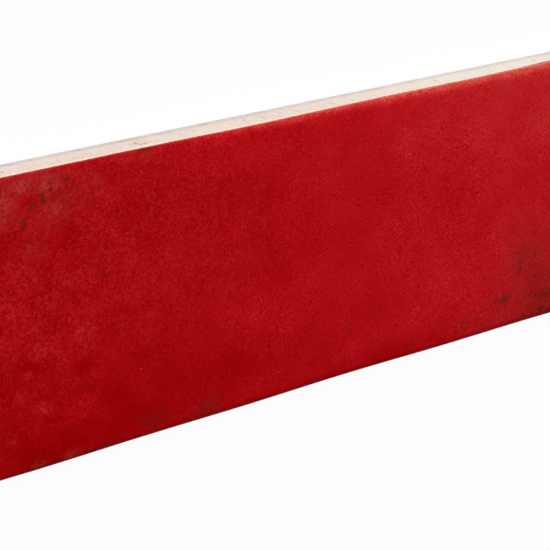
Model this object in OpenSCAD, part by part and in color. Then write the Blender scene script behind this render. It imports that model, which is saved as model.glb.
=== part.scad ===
// Glazed ceramic wall tile, one fired piece, lying flat with its glazed face up.
// The origin is the middle of the back. +X runs along the length, +Z out of the face.

/* [Tile] */
// Length of the tile, along X
tile_length = 200; // [100:5:400]
// Width of the tile, along Y
tile_width = 65; // [50:2.5:150]
// Thickness, from the back to the crests of the face
tile_thickness = 8.5; // [7:0.1:12]
// Radius of the four upright corners
corner_radius = 0.8; // [0.3:0.1:2]

/* [Face] */
// Width of the band along each side where the face rounds over
arris_width = 2.6; // [1:0.1:5]
// How far the face falls across that band
arris_drop = 0.7; // [0.2:0.1:1.2]
// Depth of the long waves, crest to trough
wave_depth = 0.4; // [0:0.05:0.8]
// Distance between the waves that run across the tile
wave_pitch = 50; // [30:1:80]
// Place of one wave crest along X
wave_crest_x = 38; // [-100:1:100]
// Distance between the gentler slanting waves
slant_pitch = 71; // [40:1:110]
// Size of the flats that the waved face is made of
face_step = 4; // [3:0.5:10]

/* [Foot] */
// Height of the foot of the walls, which leans in towards the back
foot_height = 2.4; // [1:0.1:4]
// How far the foot leans in
foot_inset = 0.35; // [0.1:0.05:1]

/* [Keyed back] */
// Width of each groove that keys the adhesive
groove_width = 2.4; // [1:0.1:3]
// Depth of each groove
groove_depth = 0.5; // [0.2:0.1:1]
// Distance from one groove to the next
groove_pitch = 6; // [4:0.5:10]
// Plain border left around the grooves
groove_border = 4; // [3:0.5:10]

/* [Hidden] */

$fn = 48;
half_length = tile_length / 2;
half_width = tile_width / 2;

// how far the cutting bodies run past the faces that they cut
overrun = 1;

// places across the rounded band, as shares of its width, closest together at the side
arris_steps = [0.1, 0.25, 0.45, 0.7, 1];

// shares of the wave depth, which add up to 1
cross_share = 0.6;
slant_share = 0.25;
counter_share = 0.15;

// how far each set of slanting waves turns away from lying along the tile
slant_lean = 0.6;
counter_lean = -1.3;

// From -1 in the troughs to 1 on the crests.
function ripple(x, y) =
    cross_share * cos(360 * (x - wave_crest_x) / wave_pitch)
    + slant_share * sin(360 * (slant_lean * x + y) / slant_pitch)
    + counter_share * sin(360 * (x + counter_lean * y) / slant_pitch);

// From 0 at the inner edge of the rounded band to 1 at the side.
function band_share(distance, half) =
    max(0, arris_width - (half - abs(distance))) / arris_width;

// The fall of the rounded band, which runs around each corner as a quarter bowl.
function arris_fall(x, y) =
    let (share = min(1, norm([band_share(x, half_length), band_share(y, half_width)])))
    arris_drop * share * share;

function face_height(x, y) =
    tile_thickness - wave_depth * (1 - ripple(x, y)) / 2 - arris_fall(x, y);

// Grid lines from side to side: close together in the two bands, even between them.
function grid_lines(half) =
    let (flat = half - arris_width, steps = ceil(2 * flat / face_step))
    concat(
        [-half - overrun],
        [for (share = arris_steps) -half + share * arris_width],
        [for (i = [1 : steps - 1]) -flat + i * 2 * flat / steps],
        [for (i = [len(arris_steps) - 1 : -1 : 0]) half - arris_steps[i] * arris_width],
        [half + overrun]
    );

// Everything below the waved face, a little larger all round than the tile.
module under_face() {
    xs = grid_lines(half_length);
    ys = grid_lines(half_width);
    nx = len(xs);
    ny = len(ys);
    top = [for (y = ys) for (x = xs) [x, y, face_height(x, y)]];
    base = [for (y = [ys[0], ys[ny - 1]]) for (x = [xs[0], xs[nx - 1]]) [x, y, -overrun]];
    first_base = nx * ny;
    south_west = first_base;
    south_east = first_base + 1;
    north_west = first_base + 2;
    north_east = first_base + 3;
    function at(i, j) = j * nx + i;
    polyhedron(
        points = concat(top, base),
        faces = concat(
            [for (j = [0 : ny - 2]) for (i = [0 : nx - 2])
                [at(i, j), at(i, j + 1), at(i + 1, j + 1)]],
            [for (j = [0 : ny - 2]) for (i = [0 : nx - 2])
                [at(i, j), at(i + 1, j + 1), at(i + 1, j)]],
            [concat([south_east, south_west], [for (i = [0 : nx - 1]) at(i, 0)])],
            [concat([north_west, north_east], [for (i = [nx - 1 : -1 : 0]) at(i, ny - 1)])],
            [concat([south_west, north_west], [for (j = [ny - 1 : -1 : 0]) at(0, j)])],
            [concat([north_east, south_east], [for (j = [0 : ny - 1]) at(nx - 1, j)])],
            [[south_west, south_east, north_east, north_west]]
        )
    );
}

// The pressed blank, with upright walls and rounded corners.
module blank() {
    linear_extrude(height = tile_thickness) {
        square([tile_length - 2 * corner_radius, tile_width], center = true);
        square([tile_length, tile_width - 2 * corner_radius], center = true);
        for (x = [-1, 1], y = [-1, 1])
            translate([x * (half_length - corner_radius), y * (half_width - corner_radius)])
                circle(r = corner_radius);
    }
}

// A wedge that leans one wall's foot in, for a wall at this distance from the middle.
module foot_cut(distance, run) {
    slope = foot_inset / foot_height;
    translate([distance, 0, 0])
        rotate([90, 0, 0])
            linear_extrude(height = run + 2 * overrun, center = true)
                polygon([
                    [-foot_inset - overrun * slope, -overrun],
                    [overrun, -overrun],
                    [overrun, foot_height],
                    [0, foot_height]
                ]);
}

module foot_cuts() {
    for (side = [0, 180])
        rotate([0, 0, side]) {
            foot_cut(half_length, tile_width);
            rotate([0, 0, 90])
                foot_cut(half_width, tile_length);
        }
}

// Round-ended grooves along the back, with a plain land down the middle.
module grooves() {
    run = tile_length - 2 * groove_border - groove_width;
    pairs = floor((half_width - groove_border - groove_width / 2) / groove_pitch + 0.5);
    translate([0, 0, -overrun])
        linear_extrude(height = overrun + groove_depth)
            for (side = [-1, 1], i = [1 : pairs])
                translate([0, side * (i - 0.5) * groove_pitch]) {
                    square([run, groove_width], center = true);
                    for (end = [-1, 1])
                        translate([end * run / 2, 0])
                            circle(d = groove_width);
                }
}

module tile() {
    color([0.66, 0.03, 0.06])
        difference() {
            intersection() {
                blank();
                under_face();
            }
            foot_cuts();
            grooves();
        }
}

tile();
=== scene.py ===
"""A red glazed ceramic wall tile, lying flat on a pale studio floor.

The tile is one fired piece. Here it is drawn as two meshes that fit together: the coat, which is the
glaze with the pale slip under it, and the fired body, which is bare on the walls and the back.
Lengths are in millimetres until a mesh, a lamp or the camera is made, and mm() turns them into metres.
"""

import math

import bmesh
import bpy
from mathutils import Matrix, Vector, noise


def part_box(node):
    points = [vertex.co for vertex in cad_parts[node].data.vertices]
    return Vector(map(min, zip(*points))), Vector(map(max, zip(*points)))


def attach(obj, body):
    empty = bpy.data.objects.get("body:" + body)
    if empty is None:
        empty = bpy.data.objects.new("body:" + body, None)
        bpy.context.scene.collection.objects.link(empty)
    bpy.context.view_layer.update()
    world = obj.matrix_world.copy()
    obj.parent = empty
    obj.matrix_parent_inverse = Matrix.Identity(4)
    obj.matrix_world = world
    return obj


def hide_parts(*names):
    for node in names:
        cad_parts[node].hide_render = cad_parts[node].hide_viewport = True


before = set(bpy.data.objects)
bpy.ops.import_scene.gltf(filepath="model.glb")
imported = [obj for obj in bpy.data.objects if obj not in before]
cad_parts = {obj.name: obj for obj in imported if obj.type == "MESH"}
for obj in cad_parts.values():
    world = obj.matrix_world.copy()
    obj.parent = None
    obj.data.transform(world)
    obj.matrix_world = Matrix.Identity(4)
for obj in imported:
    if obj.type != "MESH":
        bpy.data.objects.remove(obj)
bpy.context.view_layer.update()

MM = 0.001  # metres in a millimetre


def mm(*values):
    """A point or direction given in millimetres, as a vector in metres."""
    return Vector(values) * MM


# --- Sizes of the tile, from the frame -----------------------------------------------------------

_, tile_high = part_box("tile")
HALF_LENGTH = tile_high.x / MM
HALF_WIDTH = tile_high.y / MM
THICKNESS = tile_high.z / MM

# --- The face: the same waves and rounded sides as the model in the frame ------------------------

CORNER_RADIUS = 0.8
ARRIS_WIDTH = 2.6
ARRIS_DROP = 0.7
WAVE_DEPTH = 0.4
WAVE_PITCH = 50
WAVE_CREST_X = 38
SLANT_PITCH = 71
CROSS_SHARE, SLANT_SHARE, COUNTER_SHARE = 0.6, 0.25, 0.15
SLANT_LEAN, COUNTER_LEAN = 0.6, -1.3
FOOT_HEIGHT = 2.4
FOOT_INSET = 0.35
GROOVE_WIDTH = 2.4
GROOVE_DEPTH = 0.5
GROOVE_PITCH = 6
GROOVE_BORDER = 4

# what only the looks have
LIP = 0.35  # radius of the turn from the face into the walls
COAT_THICKNESS = 0.5
COAT_GAP = 0.004  # keeps the coat's hidden underside off the body
# how far in from a side the grid lines of the rounded band lie
SIDE_STEPS = [0, 0.03, 0.07, 0.12, 0.18, 0.26, 0.35, 0.5, 0.75, 1.1, 1.5, 2.0, 2.6]
GRID_STEP = 0.75  # the most between two grid lines on the flat of the face
BOW = 0.35  # how far the near side is drawn in at its middle
BOW_REACH = 9  # how far in from the near side the bow is felt
WALL_RING_HEIGHTS = (6.2, 4.6)  # rings that keep the upright wall's faces short
FOOT_TURN = 0.12  # half the height over which the wall turns into its foot
FOOT_TURN_INSET = 0.03
FOOT_ROUND = 0.2  # radius of the turn from the foot into the back
FOOT_ROUND_TURNS = (0, 30, 60, 90)
GROOVE_END_TURN = 15  # degrees between the points of a groove's round end
COAT_SHARP_ANGLE = 50  # edges that turn by more degrees than this are shaded sharp
BODY_SHARP_ANGLE = 35


def ripple(x, y):
    """From -1 in the troughs to 1 on the crests."""
    turn = 2 * math.pi
    return (
        CROSS_SHARE * math.cos(turn * (x - WAVE_CREST_X) / WAVE_PITCH)
        + SLANT_SHARE * math.sin(turn * (SLANT_LEAN * x + y) / SLANT_PITCH)
        + COUNTER_SHARE * math.sin(turn * (x + COUNTER_LEAN * y) / SLANT_PITCH)
    )


def side_distance(x, y):
    """How far a point of the face is inside the outline with its rounded corners."""
    past_x = abs(x) - (HALF_LENGTH - CORNER_RADIUS)
    past_y = abs(y) - (HALF_WIDTH - CORNER_RADIUS)
    if past_x > 0 and past_y > 0:
        return CORNER_RADIUS - math.hypot(past_x, past_y)
    return CORNER_RADIUS - max(past_x, past_y)


def arris_fall(x, y):
    """The fall of the rounded band along the sides."""
    share_x = max(0, ARRIS_WIDTH - (HALF_LENGTH - abs(x))) / ARRIS_WIDTH
    share_y = max(0, ARRIS_WIDTH - (HALF_WIDTH - abs(y))) / ARRIS_WIDTH
    share = min(1, math.hypot(share_x, share_y))
    return ARRIS_DROP * share * share


def lip_fall(x, y):
    """The quarter round that turns the face into the walls."""
    reach = min(1, max(0, 1 - side_distance(x, y) / LIP))
    return LIP * (1 - math.sqrt(1 - reach * reach))


def smooth_step(low, high, value):
    """A smooth rise from 0 at low to 1 at high. low may be the larger of the two."""
    share = min(1, max(0, (value - low) / (high - low)))
    return share * share * (3 - 2 * share)


# --- Fine relief of the face, which only ever lowers it ------------------------------------------

BEATEN_FROM_X = -35  # left of here the face begins to look beaten
BEATEN_TO_X = -80  # and left of here it is beaten all over
BEATEN_SLANT = 0.25
LEAST_RELIEF = 0.015
SOFT_SIZE, SOFT_DEPTH = 11, 0.05  # of the broad soft hollows
SMALL_SIZE, SMALL_DEPTH = 4.2, 0.02  # of the small hollows
BEATEN_DEPTH = 0.10  # what the small hollows gain where the face is beaten


def bumps(x, y, size, seed):
    """Smooth, even noise from -1 to 1 with features of about this size."""
    return noise.noise(Vector((x / size, y / size, seed)))


def fine_relief(x, y):
    """Depth of the small hollows below the waved face."""
    beaten = smooth_step(BEATEN_FROM_X, BEATEN_TO_X, x + BEATEN_SLANT * y)
    soft = 0.5 + 0.5 * bumps(x, y, SOFT_SIZE, seed=1.7)
    small = 0.5 + 0.5 * bumps(x, y, SMALL_SIZE, seed=5.3)
    return LEAST_RELIEF + SOFT_DEPTH * soft + (SMALL_DEPTH + BEATEN_DEPTH * beaten) * small


def face_height(x, y):
    """Height of the finished face above the back."""
    waved = THICKNESS - WAVE_DEPTH * (1 - ripple(x, y)) / 2
    return waved - arris_fall(x, y) - fine_relief(x, y) - lip_fall(x, y)


# --- Marks ---------------------------------------------------------------------------------------

# Marks and patches on the face: x, y, length, width, turn in degrees, strength.
# Burnt marks are small and brown.
BURNT_MARKS = [
    (-59, 27, 3.8, 1.9, 80, 0.55),
    (-61.2, 25.7, 2.8, 2.4, 0, 0.43),
    (-63, 22.7, 2.6, 2.3, 90, 0.5),
    (-54, 30, 2.2, 1.6, 0, 0.35),
    (-61, 30, 1.4, 1.0, 0, 0.25),
    (-37, 22.5, 1.9, 1.6, 0, 0.25),
    (-40, 27, 1.0, 1.0, 0, 0.3),
    (-47.5, 8.5, 3.0, 2.4, 90, 0.15),
    (-56, -24, 2.0, 1.4, 0, 0.2),
    (-10.5, -13, 1.1, 1.0, 0, 0.4),
    (-0.5, -24.5, 1.5, 1.2, 0, 0.4),
    (2, -17.5, 3.2, 1.3, 85, 0.25),
    (12.5, -21, 2.6, 1.1, 85, 0.4),
    (19, -25.5, 2.0, 1.0, 80, 0.5),
    (18.5, -27, 1.6, 1.0, 80, 0.3),
    (21, -17, 2.2, 1.3, 80, 0.25),
    (23.5, -11.5, 3.0, 1.6, 80, 0.15),
    (8, -28, 3.4, 2.2, 0, 0.15),
    (30, -29, 2.2, 1.5, 20, 0.5),
    (39.5, -5.5, 2.2, 1.6, 0, 0.25),
    (57.5, -10.5, 1.8, 1.7, 0, 0.35),
    (64.5, -9.5, 2.0, 1.4, 0, 0.3),
    (57.5, -5.5, 1.4, 1.2, 0, 0.3),
    (45, -27, 3.0, 2.0, 20, 0.25),
    (49, -27.5, 2.0, 1.4, 0, 0.25),
    (57, -24.3, 5.0, 4.0, 10, 0.62),
    (54.3, -24.3, 3.6, 2.0, 0, 0.45),
    (61, -17, 4.5, 1.7, 75, 0.4),
    (62.5, -14.5, 2.4, 1.4, 60, 0.3),
    (66, -20.5, 2.0, 1.4, 0, 0.4),
    (67, -25.5, 1.5, 1.3, 0, 0.6),
    (70, -26, 2.4, 1.4, 0, 0.5),
    (68.5, -30, 2.2, 2.0, 0, 0.75),
    (71, -31, 2.6, 1.8, 0, 0.75),
    (4.5, -31.5, 4.0, 1.2, 0, 0.5),
    (-52.5, -31.5, 3.5, 1.0, 0, 0.5),
]
# Patches of pale haze and leathery lines: partly a cloudy glaze and partly painted highlights, the glints
# of the beaten relief.
HAZE_AND_SHEEN_PATCHES = [
    (-63.5, 0, 14, 6, 10, 0.7),
    (-67.5, -2, 6, 5, 0, 0.45),
    (-52, -3.5, 9, 8, 30, 1.15),
    (-62, -5, 8, 6, 40, 1.2),
    (-65, -10, 4.5, 4, 0, 0.8),
    (-61.5, -13, 4, 2, -20, 0.8),
    (-66.5, -14, 4.5, 5.5, 0, 0.7),
    (-62, -18, 6.5, 4.5, -10, 1.2),
    (-67, -17.5, 4, 5, 0, 0.5),
    (-69, -24, 4.5, 2.4, -20, 0.7),
    (-37, -8.5, 7, 8, 0, 0.5),
    (-38, 3, 7, 11, 0, 0.4),
    (-32, 9, 6, 12, -20, 0.4),
    (-33, 19, 6, 9, 0, 0.3),
    (-26.5, -6, 7, 12, -20, 0.3),
    (-62, 12, 7, 5, 0, 0.4),
    (-67, 6, 7, 9, 0, 0.35),
]
# Pools, where the glaze is deep, dark and calm.
DEEP_PATCHES = [
    (-58, -28, 40, 15, 5, 1.0),
    (-44, -27, 40, 14, 5, 0.8),
    (-45, -21, 14, 11, 0, 0.7),
    (-34, -20, 18, 14, 0, 0.5),
    (-53, -11, 9, 7, 0, 0.6),
    (-61.5, -9.3, 7, 5, 0, 0.6),
    (-51, -16, 16, 7, 0, 0.3),
    (-37, -28.5, 12, 7, 0, 1.0),
    (-60, -21.5, 9, 3, 0, 0.6),
    (-20, -20, 26, 16, 0, 0.4),
    (-54, 18.5, 18, 12, 0, 0.35),
    (-68, 18, 14, 10, 0, 0.25),
    (64, 9, 26, 22, 0, 0.3),
    (26, -30, 60, 11, 0, 0.6),
    (73, 30, 14, 7, 0, 0.4),
]
# Stretches where the glaze is a little thin.
THIN_PATCHES = [
    (-43, 4, 46, 22, 8, 1.0),
    (-3, -9, 90, 24, 0, 1.0),
    (-18, 27, 40, 12, 0, 1.0),
]
# Patches of pale dust.
DUSTY_PATCHES = [
    (-68.5, 27, 13, 14, 0, 0.6),
    (-67, 28, 8, 12, 0, 0.75),
    (-63.2, 30.3, 8, 5, 0, 0.9),
    (-58, 29.4, 11, 6, -5, 0.75),
    (-56.5, 31.2, 15, 3.4, -8, 0.5),
    (-49, 28.5, 11, 7, -10, 0.24),
    (-54, 26, 18, 10, -10, 0.28),
    (-56, 24.4, 9, 7, -20, 0.5),
    (-59, 22, 16, 10, 0, 0.15),
    (-61, 16.5, 9, 7, 0, 0.2),
    (-38, 31.5, 12, 5, 0, 0.3),
    (-56.5, -31, 7, 3.2, 0, 0.7),
    (-63.5, -31, 6, 2.6, 0, 0.5),
]
# Brown veils.
BROWN_PATCHES = [
    (-36.5, 32.3, 5, 1.8, 0, 0.8),
    (-24, -29, 10, 7, 0, 0.5),
    (-25, -31, 12, 2.4, 0, 0.8),
    (-37, -28.5, 10, 7, 0, 0.4),
    (-40, -27, 3, 4, 0, 0.4),
    (-48, -31.5, 7, 1.8, 0, 0.6),
    (72, -28, 54, 46, 10, 0.55),
    (56, -32, 50, 18, 0, 0.3),
    (67, -31, 28, 9, 0, 0.68),
    (65, -17, 30, 32, 0, 0.36),
]
# Stretches with fine brown specks.
SPECKED_PATCHES = [
    (72, -27, 48, 40, 0, 1.0),
    (62, -15, 26, 26, 0, 0.85),
    (54, -29, 40, 16, 0, 0.6),
    (-60, 24, 34, 26, 0, 0.5),
    (-24, -28, 30, 12, 0, 0.5),
    (30, -6, 150, 90, 0, 0.3),
]
PATCHES = {
    "haze_and_sheen": HAZE_AND_SHEEN_PATCHES,
    "deep": DEEP_PATCHES,
    "thin": THIN_PATCHES,
    "dusty": DUSTY_PATCHES,
    "brown": BROWN_PATCHES,
    "specked": SPECKED_PATCHES,
}

# Marks on the far wall: x, height, upright length, width, strength.
# Scorches are pink scratches.
SCORCHES = [
    (-38, 4.4, 3.6, 1.4, 0.5),
    (-35.2, 3.6, 2.4, 3.4, 0.25),
    (-32.5, 5.2, 1.4, 3.0, 0.3),
    (-53.8, 4.9, 4.0, 0.9, 0.5),
    (-47, 5, 2.6, 1.0, 0.35),
    (-23.8, 3.8, 2.5, 0.9, 0.4),
    (-11.8, 4.2, 3.8, 0.9, 0.6),
    (7, 4.8, 1.6, 1.3, 0.5),
    (36.5, 4.6, 3.0, 1.0, 0.8),
    (13.5, 3.7, 2.0, 1.3, 0.3),
    (-66, 3, 3.0, 1.4, 0.3),
    (-83, 4, 3.5, 0.9, 0.5),
    (88, 4.5, 3.0, 1.0, 0.5),
]
# Soot marks are brown.
SOOTS = [
    (-65.3, 4.8, 1.8, 1.2, 0.7),
    (-50.6, 5.4, 1.2, 1.2, 0.4),
    (-7.8, 4.7, 2.2, 0.9, 0.7),
    (0.4, 4.8, 3.0, 0.8, 0.6),
    (9, 4.3, 1.6, 1.0, 0.5),
    (51.5, 3.4, 2.0, 0.8, 0.4),
    (64.4, 4.0, 2.0, 1.0, 0.7),
    (-37, 4.3, 2.0, 1.0, 1.0),
    (-36.4, 5.1, 1.5, 1.0, 1.0),
    (-35.4, 5.3, 1.1, 1.3, 1.0),
    (-34.2, 4.9, 0.9, 0.9, 0.6),
    (-32.6, 5.3, 0.8, 0.8, 0.6),
    (9.3, 5.2, 1.0, 1.6, 0.5),
    (14, 5.0, 0.8, 1.8, 0.5),
    (-90, 4, 2.0, 0.9, 0.4),
    (79, 4.4, 2.4, 0.9, 0.4),
]
# Runs, where the glaze has come further down the wall.
GLAZE_RUNS = [
    (74, 6.9, 1.8, 34, 1.0),
]


# --- Meshes --------------------------------------------------------------------------------------


def grid_lines(half):
    """Lines from side to side, close together in the rounded bands and even between them."""
    flat = half - SIDE_STEPS[-1]
    steps = math.ceil(2 * flat / GRID_STEP)
    middle = [-flat + i * 2 * flat / steps for i in range(1, steps)]
    return [d - half for d in SIDE_STEPS] + middle + [half - d for d in reversed(SIDE_STEPS)]


def in_outline(x, y):
    """Moves a point of the square-cornered grid into the rounded corner."""
    corner_x = HALF_LENGTH - CORNER_RADIUS
    corner_y = HALF_WIDTH - CORNER_RADIUS
    a = (abs(x) - corner_x) / CORNER_RADIUS
    b = (abs(y) - corner_y) / CORNER_RADIUS
    if a <= 0 or b <= 0:
        return x, y
    round_x = corner_x + CORNER_RADIUS * a * math.sqrt(1 - b * b / 2)
    round_y = corner_y + CORNER_RADIUS * b * math.sqrt(1 - a * a / 2)
    return math.copysign(round_x, x), math.copysign(round_y, y)


XS = grid_lines(HALF_LENGTH)
YS = grid_lines(HALF_WIDTH)
NX, NY = len(XS), len(YS)


def bowed(x, y):
    """Draws the near side in a little at its middle, as the heat of the kiln did."""
    share = smooth_step(BOW_REACH - HALF_WIDTH, -HALF_WIDTH, y)
    return y + BOW * share * math.cos(math.pi * x / (2 * HALF_LENGTH)) ** 2


FLAT_GRID = [in_outline(x, y) for y in YS for x in XS]


def sheet_points(height):
    """The grid's points, row by row, each at the height that the function gives."""
    return [(x, bowed(x, y), height(x, y)) for x, y in FLAT_GRID]


def sheet_faces(first, up):
    """Faces between the grid's points, facing up or down."""
    faces = []
    for j in range(NY - 1):
        for i in range(NX - 1):
            a = first + j * NX + i
            face = (a, a + 1, a + 1 + NX, a + NX)
            faces.append(face if up else face[::-1])
    return faces


def rim_indices():
    """The grid's outer points, once round anticlockwise from the near left corner."""
    near = list(range(NX - 1))
    right = [j * NX + NX - 1 for j in range(NY - 1)]
    far = [(NY - 1) * NX + i for i in range(NX - 1, 0, -1)]
    left = [j * NX for j in range(NY - 1, 0, -1)]
    return near + right + far + left


def wall_faces(upper, lower):
    """Faces between two rings of points, facing outwards."""
    count = len(upper)
    return [
        (lower[i], lower[(i + 1) % count], upper[(i + 1) % count], upper[i])
        for i in range(count)
    ]


def mesh_object(name, points, faces, material):
    """A new piece in the scene, from points in millimetres."""
    mesh = bpy.data.meshes.new(name)
    mesh.from_pydata([mm(*point) for point in points], [], faces)
    mesh.validate()
    mesh.materials.append(material)
    piece = bpy.data.objects.new(name, mesh)
    bpy.context.scene.collection.objects.link(piece)
    return piece


def shade_smooth(mesh, sharp_angle):
    """Shades the mesh smooth, apart from the edges that turn by more than the angle in degrees."""
    for polygon in mesh.polygons:
        polygon.use_smooth = True
    mesh.set_sharp_from_angle(angle=math.radians(sharp_angle))


def coat_underside(x, y):
    """Height of the coat's hidden underside, which follows the face."""
    return face_height(x, y) - COAT_THICKNESS


def note_on_points(piece, name, value, under=0.0):
    """Stores a value on each point of the coat for its material.

    The points of the underside get the value with under added.
    """
    stored = piece.data.attributes.new(name, "FLOAT", "POINT").data
    for i, (x, y) in enumerate(FLAT_GRID):
        noted = value(x, y)
        stored[i].value = noted
        stored[len(FLAT_GRID) + i].value = noted + under


def strongest(patches):
    """A function of x and y that gives the strongest of a list of soft ellipses there."""

    def value(x, y):
        """The largest strength that any of the ellipses has at this point."""
        most = 0
        for patch_x, patch_y, length, width, turn, strength in patches:
            away = Vector((x - patch_x, y - patch_y))
            if away.length < max(length, width) / 2:
                away.rotate(Matrix.Rotation(-math.radians(turn), 2))
                share = 1 - math.hypot(2 * away.x / length, 2 * away.y / width)
                most = max(most, strength * smooth_step(0, 1, share))
        return most

    return value


def make_coat(material):
    """The glaze and its slip: a thin closed shell that follows the face."""
    top = sheet_points(face_height)
    under = sheet_points(coat_underside)
    rim = rim_indices()
    faces = sheet_faces(0, True) + sheet_faces(len(top), False)
    faces += wall_faces(rim, [len(top) + i for i in rim])
    piece = mesh_object("coat", top + under, faces, material)
    shade_smooth(piece.data, COAT_SHARP_ANGLE)
    note_on_points(piece, "side_distance", side_distance, -COAT_THICKNESS)
    for name, patches in PATCHES.items():
        note_on_points(piece, name, strongest(patches))
    return piece


def inset_ring(outline, inset, height):
    """The outline drawn in by the inset along X and along Y, at one height."""
    share_x = (HALF_LENGTH - inset) / HALF_LENGTH
    share_y = (HALF_WIDTH - inset) / HALF_WIDTH
    return [(x * share_x, y * share_y, height) for x, y in outline]


def wall_rows(outline, top_heights):
    """Rings down the wall: upright, then the leaning foot, then a small round into the back."""
    rows = [[(x, y, z) for (x, y), z in zip(outline, top_heights)]]
    for height in (*WALL_RING_HEIGHTS, FOOT_HEIGHT + FOOT_TURN):
        rows.append(inset_ring(outline, 0, height))
    rows.append(inset_ring(outline, FOOT_TURN_INSET, FOOT_HEIGHT - FOOT_TURN))
    lean = FOOT_INSET / FOOT_HEIGHT
    middle = FOOT_HEIGHT / 2
    rows.append(inset_ring(outline, FOOT_INSET - lean * middle, middle))
    for degrees in FOOT_ROUND_TURNS:
        turn = math.radians(degrees)
        leant = lean * FOOT_ROUND * (1 - degrees / 90)
        inset = FOOT_INSET + FOOT_ROUND * (1 - math.cos(turn)) - leant
        rows.append(inset_ring(outline, inset, FOOT_ROUND * (1 - math.sin(turn))))
    return rows


def groove_outline(y):
    """A round-ended groove's outline round the point (0, y), anticlockwise."""
    radius = GROOVE_WIDTH / 2
    run = HALF_LENGTH - GROOVE_BORDER - radius
    points = []
    for end in (1, -1):
        for degrees in range(-90, 91, GROOVE_END_TURN):
            turn = math.radians(degrees)
            along = end * (run + radius * math.cos(turn))
            across = end * radius * math.sin(turn)
            points.append((along, y + across))
    return points


def groove_places():
    """The grooves' places along Y, in pairs about a plain land down the middle."""
    pairs = int((HALF_WIDTH - GROOVE_BORDER - GROOVE_WIDTH / 2) / GROOVE_PITCH + 0.5)
    return [side * (i + 0.5) * GROOVE_PITCH for side in (-1, 1) for i in range(pairs)]


def close_back(bm, back_ring):
    """Fills the back around the grooves, and gives each groove its walls and floor."""

    def ring(points, height):
        """The vertices and the edges of a new closed ring at one height."""
        verts = [bm.verts.new(mm(x, y, height)) for x, y in points]
        edges = [bm.edges.new((verts[i - 1], verts[i])) for i in range(len(verts))]
        return verts, edges

    flat_edges = []
    for i in range(len(back_ring)):
        flat_edges.append(bm.edges.get((back_ring[i - 1], back_ring[i])))
    for y in groove_places():
        outline = groove_outline(y)
        mouth, mouth_edges = ring(outline, 0)
        floor, _ = ring(outline, GROOVE_DEPTH)
        flat_edges += mouth_edges
        for i in range(len(outline)):
            bm.faces.new((mouth[i - 1], mouth[i], floor[i], floor[i - 1]))
        bm.faces.new(floor[::-1])
    bmesh.ops.triangle_fill(bm, edges=flat_edges, use_beauty=True, use_dissolve=False)


def make_body(material):
    """The fired clay: bare walls, a grooved back, and a hidden top under the coat."""
    top = sheet_points(lambda x, y: coat_underside(x, y) - COAT_GAP)
    rim = rim_indices()
    outline = [top[i][:2] for i in rim]
    rows = wall_rows(outline, [top[i][2] for i in rim])
    points = list(top)
    faces = sheet_faces(0, True)
    upper = rim
    for row in rows[1:]:
        lower = list(range(len(points), len(points) + len(row)))
        points += row
        faces += wall_faces(upper, lower)
        upper = lower
    piece = mesh_object("fired_body", points, faces, material)
    bm = bmesh.new()
    bm.from_mesh(piece.data)
    bm.verts.ensure_lookup_table()
    close_back(bm, [bm.verts[i] for i in upper])
    bmesh.ops.recalc_face_normals(bm, faces=bm.faces[:])
    bm.to_mesh(piece.data)
    bm.free()
    shade_smooth(piece.data, BODY_SHARP_ANGLE)
    return piece


# --- Materials -----------------------------------------------------------------------------------


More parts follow.
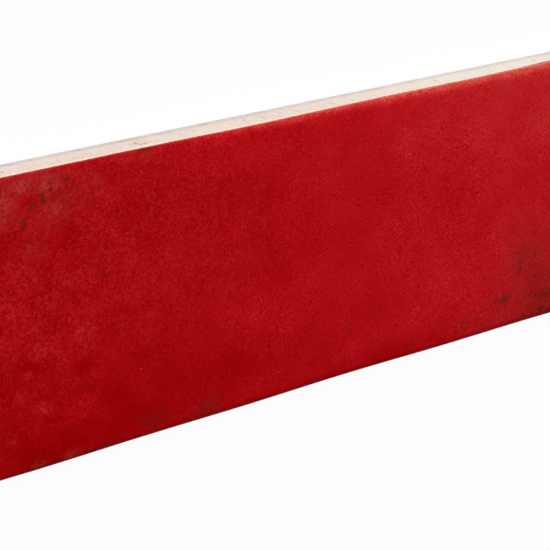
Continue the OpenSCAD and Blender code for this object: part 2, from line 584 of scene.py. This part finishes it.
class Nodes:
    """Short names for the nodes that the materials are built from. Sizes are in millimetres."""

    def __init__(self, material):
        material.use_nodes = True
        self.tree = material.node_tree
        self.shader = self.tree.nodes["Principled BSDF"]
        self.output = self.tree.nodes["Material Output"]
        self.place = self.tree.nodes.new("ShaderNodeTexCoord").outputs["Object"]

    # values and links

    def noted(self, name):
        """A value that note_on_points stored on the mesh."""
        attribute = self.tree.nodes.new("ShaderNodeAttribute")
        attribute.attribute_name = name
        return attribute.outputs["Fac"]

    def node(self, kind, **inputs):
        """A new node of this kind, with its inputs fed by name."""
        made = self.tree.nodes.new(kind)
        for name, value in inputs.items():
            self.feed(made.inputs[name.replace("_", " ")], value)
        return made

    def feed(self, socket, value):
        """Links another node's output to the socket, or sets the socket to a plain value."""
        if isinstance(value, bpy.types.NodeSocket):
            self.tree.links.new(value, socket)
        else:
            socket.default_value = value

    # arithmetic

    def math(self, operation, a, b=0.0):
        """One of Blender's math operations on two values."""
        made = self.tree.nodes.new("ShaderNodeMath")
        made.operation = operation
        self.feed(made.inputs[0], a)
        self.feed(made.inputs[1], b)
        return made.outputs[0]

    def sum(self, parts, total=0.0):
        """Each value times its weight, added up."""
        for value, weight in parts:
            made = self.tree.nodes.new("ShaderNodeMath")
            made.operation = "MULTIPLY_ADD"
            self.feed(made.inputs[0], value)
            made.inputs[1].default_value = weight
            self.feed(made.inputs[2], total)
            total = made.outputs[0]
        return total

    def product(self, *values):
        """Several values multiplied together."""
        total = values[0]
        for value in values[1:]:
            total = self.math("MULTIPLY", total, value)
        return total

    def most(self, values):
        """The largest of several values."""
        total = values[0]
        for value in values[1:]:
            total = self.math("MAXIMUM", total, value)
        return total

    def ramp(self, value, low, high, to_low=0.0, to_high=1.0):
        """A smooth change from to_low at low to to_high at high."""
        made = self.tree.nodes.new("ShaderNodeMapRange")
        made.interpolation_type = "SMOOTHSTEP"
        self.feed(made.inputs["Value"], value)
        self.feed(made.inputs["From Min"], low)
        self.feed(made.inputs["From Max"], high)
        self.feed(made.inputs["To Min"], to_low)
        self.feed(made.inputs["To Max"], to_high)
        return made.outputs["Result"]

    def mix(self, share, a, b, blend="MIX"):
        """Colour a where share is 0, and colour b, or both blended, where it is 1."""
        made = self.tree.nodes.new("ShaderNodeMix")
        made.data_type = "RGBA"
        made.blend_type = blend
        self.feed(made.inputs[0], share)
        self.feed(made.inputs[6], a)
        self.feed(made.inputs[7], b)
        return made.outputs[2]

    # places

    def axis(self, name, place=None):
        """One coordinate of the place, in millimetres."""
        made = self.tree.nodes.new("ShaderNodeSeparateXYZ")
        self.feed(made.inputs[0], self.place if place is None else place)
        return self.math("MULTIPLY", made.outputs[name], 1 / MM)

    def along_x(self, low, high, to_low=0.0, to_high=1.0):
        """A smooth change along the tile's length, between two places on X."""
        return self.ramp(self.axis("X"), low, high, to_low, to_high)

    def along_y(self, low, high, to_low=0.0, to_high=1.0):
        """A smooth change across the tile's width, between two places on Y."""
        return self.ramp(self.axis("Y"), low, high, to_low, to_high)

    def scaled(self, factors, place=None):
        """The place with each coordinate multiplied, so that noise can be stretched."""
        made = self.tree.nodes.new("ShaderNodeVectorMath")
        made.operation = "MULTIPLY"
        self.feed(made.inputs[0], self.place if place is None else place)
        made.inputs[1].default_value = factors
        return made.outputs[0]

    def drawn_out(self, degrees, stretch, place=None):
        """The place in a turned frame, in which noise comes out drawn along that direction."""
        made = self.tree.nodes.new("ShaderNodeMapping")
        made.vector_type = "TEXTURE"
        self.feed(made.inputs["Vector"], self.place if place is None else place)
        made.inputs["Rotation"].default_value = (0, 0, math.radians(degrees))
        made.inputs["Scale"].default_value = (stretch, 1, 1)
        return made.outputs[0]

    def ragged(self, size, amount):
        """The place pushed about by small noise, which gives marks ragged edges."""
        made = self.tree.nodes.new("ShaderNodeTexNoise")
        made.inputs["Scale"].default_value = 1 / (size * MM)
        made.inputs["Detail"].default_value = 3.0
        self.feed(made.inputs["Vector"], self.place)
        centred = self.tree.nodes.new("ShaderNodeVectorMath")
        centred.operation = "SUBTRACT"
        self.feed(centred.inputs[0], made.outputs["Color"])
        centred.inputs[1].default_value = (0.5, 0.5, 0.5)
        push = self.scaled((2 * amount * MM, 2 * amount * MM, 0), centred.outputs[0])
        moved = self.tree.nodes.new("ShaderNodeVectorMath")
        self.feed(moved.inputs[0], self.place)
        self.feed(moved.inputs[1], push)
        return moved.outputs[0]

    # patterns

    def noise(self, size, detail=2.0, roughness=0.5, place=None, offset=0.0):
        """Noise from 0 to 1 with features of about this size. Each offset gives another pattern."""
        made = self.tree.nodes.new("ShaderNodeTexNoise")
        made.noise_dimensions = "4D"
        made.inputs["W"].default_value = offset
        made.inputs["Scale"].default_value = 1 / (size * MM)
        made.inputs["Detail"].default_value = detail
        made.inputs["Roughness"].default_value = roughness
        self.feed(made.inputs["Vector"], self.place if place is None else place)
        return made.outputs["Fac"]

    def blob(self, x, y, length, width, turn, strength, soft, place):
        """The strength inside an ellipse, falling to 0 across its soft share."""
        made = self.tree.nodes.new("ShaderNodeMapping")
        made.vector_type = "TEXTURE"
        self.feed(made.inputs["Vector"], place)
        made.inputs["Location"].default_value = (x * MM, y * MM, 0)
        made.inputs["Rotation"].default_value = (0, 0, math.radians(turn))
        made.inputs["Scale"].default_value = (length * MM / 2, width * MM / 2, 1)
        away = self.tree.nodes.new("ShaderNodeVectorMath")
        away.operation = "LENGTH"
        self.feed(away.inputs[0], made.outputs[0])
        return self.ramp(away.outputs["Value"], 1.0, 1.0 - soft, 0.0, strength)

    def bump(self, height, depth):
        """Makes the surface's small relief from a height of 0 to 1 and its depth."""
        made = self.tree.nodes.new("ShaderNodeBump")
        made.inputs["Strength"].default_value = 1.0
        made.inputs["Distance"].default_value = depth * MM
        self.feed(made.inputs["Height"], height)
        self.feed(self.shader.inputs["Normal"], made.outputs["Normal"])


def rgb(red, green, blue):
    """An opaque colour from its three shares."""
    return (red, green, blue, 1.0)


# The glaze is a red glass over the pale slip. Its colour is GLASS_UNDER times what the glass lets
# through at its usual depth, to the power of the real depth: thin glaze is pale and deep glaze dark.
SLIP = rgb(0.98, 0.72, 0.55)
GLASS_UNDER = rgb(0.92, 1.00, 0.26)
GLASS_PASS = rgb(0.440, 0.0017, 0.0170)
# Painted light: the near lip's thin glaze, as bright as if the lamps lit it.
GLAZE_THIN_AND_LIT_LIP = rgb(0.920, 0.0500, 0.0300)
GLAZE_DEEP = rgb(0.230, 0.0035, 0.0040)
GLAZE_BROWN = rgb(0.110, 0.0120, 0.0060)
GLAZE_BURNT = rgb(0.060, 0.0120, 0.0050)
GLAZE_DUST = rgb(0.470, 0.0720, 0.0520)
# Partly the glaze's cloudiness and partly painted highlight: the colour of the haze and of the painted
# glint lines.
GLAZE_HAZE_AND_SHEEN = rgb(0.580, 0.0220, 0.0250)
GLAZE_RUN = rgb(0.400, 0.0120, 0.0140)
# Painted highlight: the colour of a few small pale glints.
PAINTED_GLINT = rgb(0.620, 0.160, 0.130)
BISQUE = rgb(0.815, 0.695, 0.610)
BISQUE_YELLOW = rgb(0.800, 0.700, 0.540)
BISQUE_PINK = rgb(0.810, 0.625, 0.560)
BISQUE_WHITE = rgb(0.865, 0.795, 0.710)
BISQUE_GREY = rgb(0.660, 0.590, 0.575)
BISQUE_LILAC = rgb(0.560, 0.490, 0.495)
BISQUE_SCORCH = rgb(0.700, 0.380, 0.290)
BISQUE_SOOT = rgb(0.400, 0.290, 0.210)

START_DEPTH = 1.395  # the glaze's depth before the parts that thin or deepen it are added
LEAST_DEPTH = 0.4  # the glaze is nowhere thinner
LEATHER_DEPTH = 0.045  # depth of the glaze's fine relief
LEATHER_CELL = 0.75  # size of the small cells in the leathery haze
LIP_ROUGHNESS = 0.55  # of the dull lip along the near side
CLAY_DEPTH = 0.05  # depth of the bare clay's grain
SLIP_HEIGHTS = (6.1, 6.7)  # the slip begins to show on the wall here, and covers it from here up


def near_side(nodes):
    """1 along the near side of the face, and 0 on the rest of it."""
    return nodes.along_y(-26, -30)


def upper_part(nodes):
    """1 on the far half of the face, falling to 0 towards the near side."""
    return nodes.along_y(-16, 6)


def beaten_end(nodes):
    """1 at the left, where the face is beaten, falling to 0 at its middle."""
    return nodes.along_x(-15, -70)


def coarse_grain(nodes):
    """The grain that both the glaze's depth and its gloss follow."""
    return nodes.noise(0.9, 3.0, 0.65, offset=3.0)


def leather_lines(nodes, place):
    """Thin, short, curved lines, as on leather: edges of small cells and level lines, broken up."""
    cells = nodes.tree.nodes.new("ShaderNodeTexVoronoi")
    cells.feature = "DISTANCE_TO_EDGE"
    cells.inputs["Scale"].default_value = 1 / (LEATHER_CELL * MM)
    nodes.feed(cells.inputs["Vector"], place)
    level = nodes.noise(0.9, 1.0, 0.5, place, offset=71.0)
    away = nodes.math("ABSOLUTE", nodes.math("SUBTRACT", level, 0.5))
    lines = [nodes.ramp(cells.outputs["Distance"], 0.17, 0.0), nodes.ramp(away, 0.07, 0.0)]
    broken = []
    for line, offset in zip(lines, (75.0, 76.0)):
        gaps = nodes.ramp(nodes.noise(0.9, 1.0, 0.5, offset=offset), 0.45, 0.6)
        broken.append(nodes.product(line, gaps))
    return nodes.most(broken)


def slip_share(nodes, side):
    """1 where the glaze has ended and the slip shows. side is the distance to the face's side."""
    slow = nodes.noise(9, 2.0, offset=21.0)
    quick = nodes.sum([(nodes.noise(0.7, 3.0, 0.65, offset=22.0), 1.0)], -0.5)
    quick = nodes.product(quick, nodes.along_x(-15, 25, 0.2, 1.5))
    parts = [
        (slow, 0.3),
        (quick, 1.0),
        (nodes.along_x(5, 25), -0.28),
        (nodes.along_x(45, 70), -0.2),
        (near_side(nodes), -0.3),
    ]
    edge = nodes.sum(parts, -0.26)
    return nodes.ramp(nodes.math("SUBTRACT", side, edge), 0.02, -0.02)


def side_band(nodes, side, reach):
    """1 at the sides of the face, falling to 0 over the reach in millimetres, which wanders."""
    wander = nodes.noise(8, 2.0, offset=31.0)
    return nodes.ramp(nodes.sum([(side, 1.0), (wander, 1.6)], -0.8), reach, 0.0)


def glaze_grain(nodes, painted_lit_corner):
    """The grain of the glaze's depth, which is strongest at the left and weak where it is deep."""
    fine = nodes.noise(0.34, 0.0)
    grain = nodes.sum([(fine, 1.2), (coarse_grain(nodes), 0.25)], -0.725)
    patchy = nodes.ramp(nodes.noise(4, 3.0, 0.6, offset=6.0), 0.35, 0.65, 0.5, 1.15)
    grain = nodes.product(grain, patchy, nodes.along_x(-50, 25, 0.98, 0.7))
    in_pools = nodes.ramp(nodes.noted("deep"), 0, 0.8, 1, 0.6)
    return nodes.product(grain, in_pools, nodes.ramp(painted_lit_corner, 0.6, 1, 1, 0.75))


def glaze_depth(nodes, side):
    """The glaze's depth, where 1 is usual: grain, clouds, pools and the sides."""
    near = near_side(nodes)
    # Painted light: the far right corner, where the glaze is made thinner and paler as if the lamps lit
    # it most.
    painted_lit_corner = nodes.product(nodes.along_x(-45, 35), nodes.along_y(8, 28))
    cloud = nodes.noise(14, 4.0, 0.6, offset=2.0)
    mottle = nodes.sum([(nodes.noise(5, 4.0, 0.65, offset=7.0), 1.0)], -0.5)
    mottle = nodes.product(mottle, nodes.ramp(beaten_end(nodes), 0, 1, 0.3, 1.0))
    band = side_band(nodes, side, 2.4)
    # Painted highlight: the glaze is made thinner and paler in a band along the far rim's right part,
    # where the rounded edge catches the light.
    painted_rim_highlight = nodes.product(band, band, nodes.math("SUBTRACT", 1.0, near))
    painted_rim_highlight = nodes.product(painted_rim_highlight, nodes.along_x(-45, -8, 0.1, 1.0))
    pits = nodes.ramp(nodes.noise(0.8, 1.0, offset=51.0), 0.36, 0.26)
    parts = [
        (glaze_grain(nodes, painted_lit_corner), -0.9),
        (cloud, -0.4),
        (mottle, -0.8),
        (nodes.noted("deep"), 0.23),
        (nodes.noted("thin"), -0.11),
        (painted_rim_highlight, -0.42),
        # Partly painted shade: deeper, darker glaze along the near side, which faces away from the lamps.
        (nodes.product(band, near), 0.42),
        (pits, 0.4),
        # Painted light: the glaze thins, so it is paler, towards the right, where the lamps light the
        # face most.
        (nodes.along_x(-95, 95), -0.4),
        (painted_lit_corner, -0.09),
        (nodes.along_x(-10, 40), -0.04),
    ]
    return nodes.math("MAXIMUM", nodes.sum(parts, START_DEPTH), LEAST_DEPTH)


def with_haze_and_sheen(nodes, colour):
    """Adds pale haze and pale leathery lines, which are strongest where the face is beaten. The lines are
    painted highlights, the glints of the relief, and the haze is partly a cloudy glaze and partly painted
    sheen.
    """
    upper = upper_part(nodes)
    chance = nodes.ramp(nodes.noise(6, 5.0, 0.7, offset=9.0), 0.42, 0.67)
    chance = nodes.product(chance, nodes.along_x(-60, 20, 0.5, 0.2), nodes.ramp(upper, 0, 1, 0.5, 1.1))
    haze_and_sheen = nodes.math("MAXIMUM", nodes.noted("haze_and_sheen"), chance)
    # Painted highlights: the leathery lines stand in for glints of the beaten relief.
    lines = leather_lines(nodes, nodes.drawn_out(40, 1.5, nodes.ragged(2.0, 0.5)))
    scattered = nodes.ramp(upper, 0, 1, 0.11, 0.3)
    lines = nodes.product(lines, nodes.ramp(haze_and_sheen, 0, 1, scattered, 0.74))
    lines = nodes.product(lines, nodes.along_x(-45, 20, 1.0, 0.1))
    lines = nodes.product(lines, nodes.ramp(nodes.noted("deep"), 0, 0.7, 1, 0.2))
    cover = nodes.product(haze_and_sheen, nodes.ramp(nodes.noted("deep"), 0, 0.7, 0.15, 0.04))
    return nodes.mix(nodes.math("ADD", cover, lines), colour, GLAZE_HAZE_AND_SHEEN)


def with_dust(nodes, colour, streaky):
    """Adds pale streaky dust with dark holes in it."""
    cloudy = nodes.noise(3.0, 4.0, 0.7, offset=12.0)
    dust = nodes.product(nodes.noted("dusty"), nodes.ramp(streaky, 0.38, 0.58, 0.15, 0.72))
    dust = nodes.product(dust, nodes.ramp(cloudy, 0.35, 0.6, 0.42, 1.0))
    colour = nodes.mix(dust, colour, GLAZE_DUST)
    holes = nodes.noise(0.5, 1.0, 0.5, nodes.drawn_out(60, 1.4), offset=81.0)
    holes = nodes.product(nodes.ramp(holes, 0.56, 0.66), nodes.ramp(nodes.noted("dusty"), 0, 0.6, 0, 0.6))
    return nodes.mix(holes, colour, GLAZE_DEEP)


def with_brown_and_near_edge_shading(nodes, colour, streaky, side):
    """Adds brown veils, and along the near side a brown line that is partly stain and partly painted
    shade, and a thin red lip painted lighter than its light makes it.
    """
    near = near_side(nodes)
    veil = nodes.product(nodes.noted("brown"), nodes.ramp(streaky, 0.36, 0.62, 0.45, 1.0))
    # Partly painted shade: a dark brown line along the near edge, which faces away from the lamps.
    line = nodes.product(nodes.ramp(side, 0.75, 0.5), near, 0.9)
    colour = nodes.mix(nodes.most([veil, line]), colour, GLAZE_BROWN)
    # Painted light: the thin red lip on the near edge, painted lighter than its light makes it.
    return nodes.mix(nodes.product(nodes.ramp(side, 0.36, 0.24), near), colour, GLAZE_THIN_AND_LIT_LIP)


def with_specks(nodes, colour):
    """Adds upright brown specks, the closer together the more a place is specked."""
    crowd = nodes.noted("specked")
    speckle = nodes.noise(0.55, 2.0, 0.6, nodes.drawn_out(82, 2.2), offset=11.0)
    edge = nodes.ramp(crowd, 0.0, 1.0, 0.73, 0.49)
    specks = nodes.ramp(nodes.math("SUBTRACT", speckle, edge), 0.0, 0.12)
    specks = nodes.product(specks, nodes.ramp(crowd, 0, 0.7, 0.4, 0.7))
    return nodes.mix(specks, colour, GLAZE_BROWN)


def with_rim_specks(nodes, colour, side):
    """Adds dark specks along the far rim, most of them at the right."""
    at_rim = nodes.product(nodes.ramp(side, 0.75, 0.35), nodes.along_y(28, 31))
    along_rim = nodes.math("MAXIMUM", nodes.along_x(10, 30), nodes.along_x(-25, -45, 0, 0.3))
    specks = nodes.ramp(nodes.noise(0.5, 1.0, offset=61.0), 0.52, 0.64)
    return nodes.mix(nodes.product(specks, at_rim, along_rim, 0.6), colour, GLAZE_DEEP)


def with_burns_and_painted_glints(nodes, colour):
    """Adds the stated burnt marks and a few pale glints, which are painted highlights."""
    pushed = nodes.ragged(1.4, 0.9)
    burns = nodes.most([nodes.blob(*mark, 0.7, pushed) for mark in BURNT_MARKS])
    colour = nodes.mix(burns, colour, GLAZE_BURNT)
    # Painted highlights: a few pale glints, dimmed.
    painted_glints = nodes.ramp(nodes.noise(0.6, 0.0, offset=41.0), 0.87, 0.90)
    return nodes.mix(nodes.product(painted_glints, 0.4), colour, PAINTED_GLINT)


def finish_glaze(nodes, side):
    """Sets the glaze's gloss, which is dull on the near lip, and its leathery relief."""
    calm = nodes.noted("deep")
    gloss = nodes.ramp(coarse_grain(nodes), 0.3, 0.7, 0.10, 0.20)
    gloss = nodes.product(gloss, nodes.ramp(calm, 0, 0.8, 1, 0.6))
    near_lip = nodes.product(near_side(nodes), nodes.ramp(side, 0.6, 0.2), LIP_ROUGHNESS)
    nodes.feed(nodes.shader.inputs["Roughness"], nodes.math("MAXIMUM", gloss, near_lip))
    beaten = nodes.ramp(beaten_end(nodes), 0, 1, 0.12, 1.0)
    leather = nodes.product(nodes.noise(1.1, 2.0, 0.6, offset=5.0), beaten)
    leather = nodes.product(leather, nodes.ramp(calm, 0, 0.8, 1, 0.35), nodes.ramp(side, 0.5, 3.0))
    nodes.bump(leather, LEATHER_DEPTH)


def glaze_material():
    """The red glaze, and the slip that shows below the glaze's uneven edge."""
    material = bpy.data.materials.new("red_glaze")
    nodes = Nodes(material)
    side = nodes.noted("side_distance")
    depth = glaze_depth(nodes, side)
    passed = nodes.node("ShaderNodeGamma", Color=GLASS_PASS, Gamma=depth).outputs[0]
    colour = nodes.mix(1.0, GLASS_UNDER, passed, blend="MULTIPLY")
    colour = with_haze_and_sheen(nodes, colour)
    streaky = nodes.noise(0.6, 3.0, 0.7, nodes.drawn_out(82, 1.9), offset=8.0)
    colour = with_dust(nodes, colour, streaky)
    colour = with_brown_and_near_edge_shading(nodes, colour, streaky, side)
    colour = with_specks(nodes, colour)
    colour = with_rim_specks(nodes, colour, side)
    colour = with_burns_and_painted_glints(nodes, colour)
    colour = nodes.mix(slip_share(nodes, side), colour, SLIP)
    nodes.feed(nodes.shader.inputs["Base Color"], colour)
    finish_glaze(nodes, side)
    return material


def wall_marks(nodes, marks, soft=0.8):
    """The strongest of a list of upright marks, on the far wall only."""
    pushed = nodes.ragged(0.8, 0.5)
    made = nodes.tree.nodes.new("ShaderNodeCombineXYZ")
    nodes.feed(made.inputs["X"], nodes.product(nodes.axis("X", pushed), MM))
    nodes.feed(made.inputs["Y"], nodes.product(nodes.axis("Z"), MM))
    on_wall = made.outputs[0]
    shares = []
    for x, height, length, width, strength in marks:
        shares.append(nodes.blob(x, height, width, length, 0, strength, soft, on_wall))
    return nodes.product(nodes.most(shares), nodes.along_y(30, 32))


def bisque_material():
    """The bare fired clay: cream with pink and yellow clouds, a greyer foot, and the wall's marks."""
    material = bpy.data.materials.new("bare_bisque")
    nodes = Nodes(material)
    height = nodes.axis("Z")
    pink = nodes.ramp(nodes.noise(5, 4.0, 0.6), 0.42, 0.62)
    colour = nodes.mix(pink, BISQUE, BISQUE_PINK)
    yellow = nodes.ramp(nodes.noise(4, 4.0, 0.6, offset=14.0), 0.5, 0.65)
    colour = nodes.mix(nodes.product(yellow, 0.8), colour, BISQUE_YELLOW)
    colour = nodes.mix(nodes.product(nodes.along_x(-10, 60), 0.8), colour, BISQUE_WHITE)

    lilac = nodes.ramp(nodes.noise(3, 3.0, 0.6, offset=15.0), 0.45, 0.62)
    grey = nodes.mix(lilac, BISQUE_GREY, BISQUE_LILAC)
    foot = nodes.ramp(height, FOOT_HEIGHT + 0.3, FOOT_HEIGHT - 0.1)
    colour = nodes.mix(nodes.product(foot, nodes.along_x(-20, 15, 0.85, 0.6)), colour, grey)
    colour = nodes.mix(nodes.ramp(height, *SLIP_HEIGHTS), colour, SLIP)

    streaks = nodes.noise(1.4, 2.0, 0.5, nodes.scaled((1, 1, 0.12)), offset=4.0)
    colour = nodes.mix(nodes.product(nodes.ramp(streaks, 0.64, 0.74), 0.35), colour, BISQUE_SCORCH)
    colour = nodes.mix(nodes.product(wall_marks(nodes, SCORCHES), 0.9), colour, BISQUE_SCORCH)
    colour = nodes.mix(nodes.product(wall_marks(nodes, SOOTS), 0.9), colour, BISQUE_SOOT)
    colour = nodes.mix(wall_marks(nodes, GLAZE_RUNS, 0.1), colour, GLAZE_RUN)
    nodes.feed(nodes.shader.inputs["Base Color"], colour)
    nodes.feed(nodes.shader.inputs["Roughness"], nodes.ramp(streaks, 0.3, 0.7, 0.75, 0.9))
    nodes.bump(nodes.noise(0.5, 3.0, 0.6), CLAY_DEPTH)
    return material


# --- Camera --------------------------------------------------------------------------------------

CAMERA_AZIMUTH = 137.7  # degrees from +X, anticlockwise, of the direction to the camera
CAMERA_ELEVATION = 50.3
CAMERA_DISTANCE = 339.5
CAMERA_LENS = 104
CAMERA_AIM = (-6.7, -2.4, 7.5)
CAMERA_CLIP = (0.01, 20)  # metres


def direction(azimuth, elevation):
    """The unit vector that points this way, from angles in degrees."""
    a, e = math.radians(azimuth), math.radians(elevation)
    return Vector((math.cos(a) * math.cos(e), math.sin(a) * math.cos(e), math.sin(e)))


def looking(place, target, up):
    """The matrix of a thing at place that looks along its -Z at target, with +Y towards up."""
    back = (place - target).normalized()
    right = up.cross(back).normalized()
    turn = Matrix((right, back.cross(right), back)).transposed().to_4x4()
    return Matrix.Translation(place) @ turn


def make_camera():
    """The camera, rolled so that the tile's +Y is up in the picture."""
    data = bpy.data.cameras.new("camera")
    data.lens = CAMERA_LENS
    data.clip_start, data.clip_end = CAMERA_CLIP
    camera = bpy.data.objects.new("camera", data)
    target = mm(*CAMERA_AIM)
    place = target + direction(CAMERA_AZIMUTH, CAMERA_ELEVATION) * CAMERA_DISTANCE * MM
    camera.matrix_world = looking(place, target, Vector((0, 1, 0)))
    bpy.context.scene.collection.objects.link(camera)
    bpy.context.scene.camera = camera


# --- Studio --------------------------------------------------------------------------------------

# Soft lamps: name, azimuth and elevation in degrees, distance and size in metres, power in watts.
LAMPS = [
    ("key_softbox", 98, 42, 0.95, 0.45, 7.0),
    ("right_softbox", 0, 28, 1.2, 0.6, 4.2),
    ("front_softbox", 252, 20, 1.2, 0.6, 4.6),
    ("top_softbox", 150, 74, 1.2, 0.6, 3.0),
]
FLOOR_HALF = 3.0  # metres from the middle of the floor to its edges
FLOOR_GREY = 0.9
FLOOR_WHITE_SHARE = 0.94  # how much of what the camera sees of the floor is plain white
WORLD_LIGHT = 0.01


def make_lamp(name, azimuth, elevation, distance, size, power):
    """A soft square lamp that looks at the tile."""
    data = bpy.data.lights.new(name, "AREA")
    data.shape = "SQUARE"
    data.size = size
    data.energy = power
    lamp = bpy.data.objects.new(name, data)
    place = direction(azimuth, elevation) * distance
    lamp.matrix_world = looking(place, Vector((0, 0, 0)), Vector((0, 0, 1)))
    bpy.context.scene.collection.objects.link(lamp)


def make_floor():
    """A wide pale floor. To the camera it is mostly plain white, with the tile's shadow on it."""
    mesh = bpy.data.meshes.new("floor")
    signs = [(-1, -1), (1, -1), (1, 1), (-1, 1)]
    mesh.from_pydata([(x * FLOOR_HALF, y * FLOOR_HALF, 0) for x, y in signs], [], [(0, 1, 2, 3)])
    floor = bpy.data.objects.new("floor", mesh)
    bpy.context.scene.collection.objects.link(floor)
    material = bpy.data.materials.new("pale_floor")
    nodes = Nodes(material)
    nodes.shader.inputs["Base Color"].default_value = rgb(FLOOR_GREY, FLOOR_GREY, FLOOR_GREY)
    nodes.shader.inputs["Roughness"].default_value = 0.9
    white = nodes.node("ShaderNodeEmission", Color=rgb(1, 1, 1), Strength=1.0)
    path = nodes.node("ShaderNodeLightPath")
    mixed = nodes.node("ShaderNodeMixShader")
    seen = nodes.product(path.outputs["Is Camera Ray"], FLOOR_WHITE_SHARE)
    nodes.feed(mixed.inputs[0], seen)
    nodes.feed(mixed.inputs[1], nodes.shader.outputs[0])
    nodes.feed(mixed.inputs[2], white.outputs[0])
    nodes.feed(nodes.output.inputs["Surface"], mixed.outputs[0])
    mesh.materials.append(material)


def make_world():
    """A world that is white to the camera and almost dark to the tile."""
    world = bpy.data.worlds.new("studio")
    world.use_nodes = True
    tree = world.node_tree
    studio = tree.nodes["Background"]
    studio.inputs["Color"].default_value = rgb(1, 1, 1)
    studio.inputs["Strength"].default_value = WORLD_LIGHT
    white = tree.nodes.new("ShaderNodeBackground")
    white.inputs["Color"].default_value = rgb(1, 1, 1)
    path = tree.nodes.new("ShaderNodeLightPath")
    mixed = tree.nodes.new("ShaderNodeMixShader")
    tree.links.new(path.outputs["Is Camera Ray"], mixed.inputs[0])
    tree.links.new(studio.outputs[0], mixed.inputs[1])
    tree.links.new(white.outputs[0], mixed.inputs[2])
    tree.links.new(mixed.outputs[0], tree.nodes["World Output"].inputs["Surface"])
    bpy.context.scene.world = world


# --- The scene -----------------------------------------------------------------------------------

make_camera()

coat = make_coat(glaze_material())
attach(coat, "root")
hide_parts("tile")

body = make_body(bisque_material())
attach(body, "root")
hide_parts("tile")

make_floor()
make_world()
for lamp in LAMPS:
    make_lamp(*lamp)

bpy.context.scene.view_settings.view_transform = "Standard"
